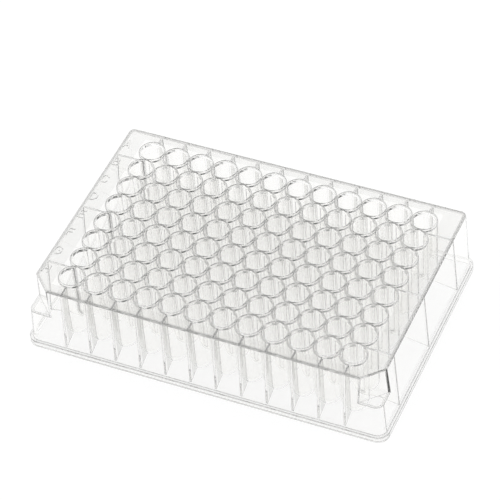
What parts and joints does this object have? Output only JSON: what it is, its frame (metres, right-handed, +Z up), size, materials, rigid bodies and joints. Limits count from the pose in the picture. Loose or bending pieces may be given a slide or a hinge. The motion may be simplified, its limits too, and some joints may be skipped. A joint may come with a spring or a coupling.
{
  "type": "well plate",
  "caption": "Clear plastic plate with a grid of deep round-bottomed wells, joined by a deck and a skirt with a standing flange.",
  "frame": {"origin": "centre of the footprint, on the surface that the plate stands on", "axes": "+X along the rows of wells, from column 1 to column 12; +Y towards row A; +Z up, out of the wells' mouths"},
  "size_m": [0.1278, 0.0854, 0.0267],
  "materials": {
    "clear_plastic": "clear moulded polystyrene, glossy, colourless"
  },
  "bodies": {
    "root": {"well_plate": "clear_plastic"}
  },
  "joints": []
}
